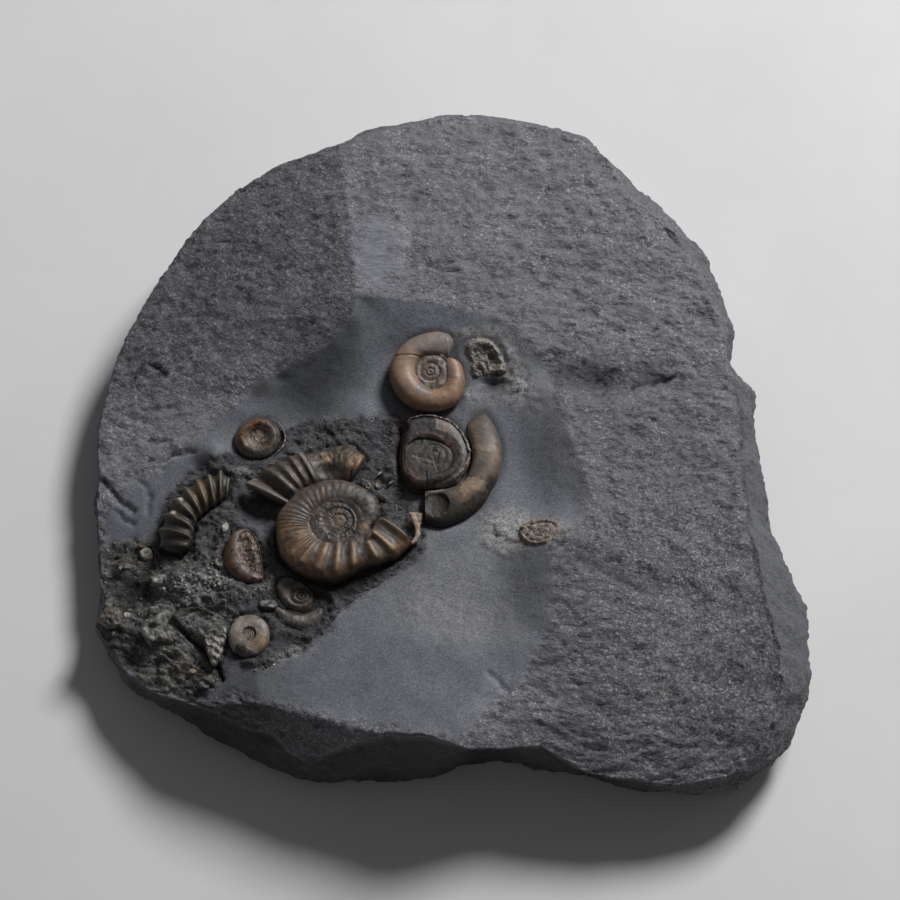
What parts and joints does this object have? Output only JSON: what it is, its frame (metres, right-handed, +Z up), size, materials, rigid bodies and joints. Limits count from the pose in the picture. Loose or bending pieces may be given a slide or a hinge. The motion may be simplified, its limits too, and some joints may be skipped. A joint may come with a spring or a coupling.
{
  "type": "ammonite cluster plate",
  "caption": "Block of grey limestone with a prepared hollow in which small ribbed and smooth ammonites lie, whole and broken, as a display fossil.",
  "frame": {"origin": "a point near the middle of the flat underside, on which the stone rests", "axes": "+Z up out of the fossil face, +X to the right and +Y to the back as the plate lies with its chipped edge to the front"},
  "size_m": [0.1619, 0.1595, 0.0382],
  "materials": {
    "limestone": "rough broken grey limestone, fine and powdery where it was prepared",
    "calcite_brown": "satin brown calcite shell with tan rib crests",
    "calcite_orange": "polished orange-tan calcite",
    "calcite_dark": "satin dark olive-brown calcite",
    "calcite_pale": "matt cream and beige calcite"
  },
  "bodies": {
    "root": {"limestone_matrix": "limestone", "ammonite_main_coil": "calcite_brown", "ammonite_main_outer_whorl": "calcite_brown", "ammonite_smooth": "calcite_orange", "ammonite_crusty_whorl": "calcite_pale", "ammonite_right_coil": "calcite_brown", "ammonite_right_body_chamber": "calcite_orange", "ammonite_small": "calcite_orange", "ammonite_ribbed_arc": "calcite_dark", "ammonite_half": "calcite_orange", "ammonite_shaded": "calcite_dark", "ammonite_pale_disc": "calcite_pale", "ammonite_worn": "calcite_pale"}
  },
  "joints": []
}
